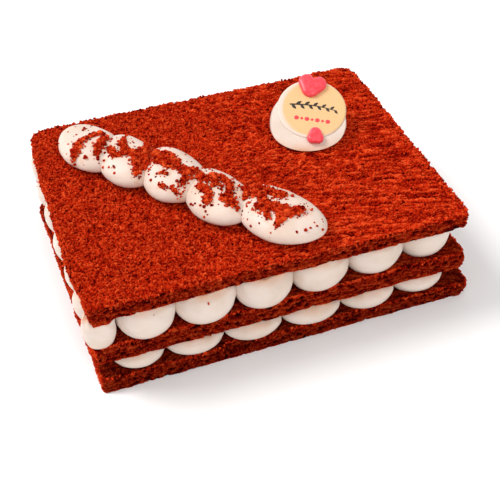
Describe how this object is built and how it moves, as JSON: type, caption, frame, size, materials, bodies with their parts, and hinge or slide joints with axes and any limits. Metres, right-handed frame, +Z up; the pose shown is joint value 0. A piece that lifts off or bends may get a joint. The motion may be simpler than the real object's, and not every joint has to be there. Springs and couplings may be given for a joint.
{
  "type": "red velvet cake",
  "caption": "Rectangular layer cake of thin red sponge sheets with piped cream between them, a row of crumb-dusted cream mounds and a round iced plaque with hearts on top.",
  "frame": {"origin": "centre of the footprint at the underside", "axes": "+X along the long front edge to the right, +Y from the front edge to the back, +Z up"},
  "size_m": [0.2168, 0.1555, 0.0846],
  "materials": {
    "red_sponge": "matt, granular crumb",
    "cream": "satin whipped cream",
    "yellow_icing": "smooth satin icing",
    "pink_fondant": "smooth, slightly glossy fondant",
    "dark_icing": "dried icing line",
    "red_icing": "dried icing line"
  },
  "bodies": {
    "root": {"sponge_bottom": "red_sponge", "cream_lower": "cream", "sponge_middle": "red_sponge", "cream_upper": "cream", "sponge_top": "red_sponge", "dollop_1": "cream", "dollop_2": "cream", "dollop_3": "cream", "dollop_4": "cream", "dollop_5": "cream", "plaque_cream": "cream", "plaque_disc": "yellow_icing", "heart_large": "pink_fondant", "heart_small": "pink_fondant"}
  },
  "joints": []
}
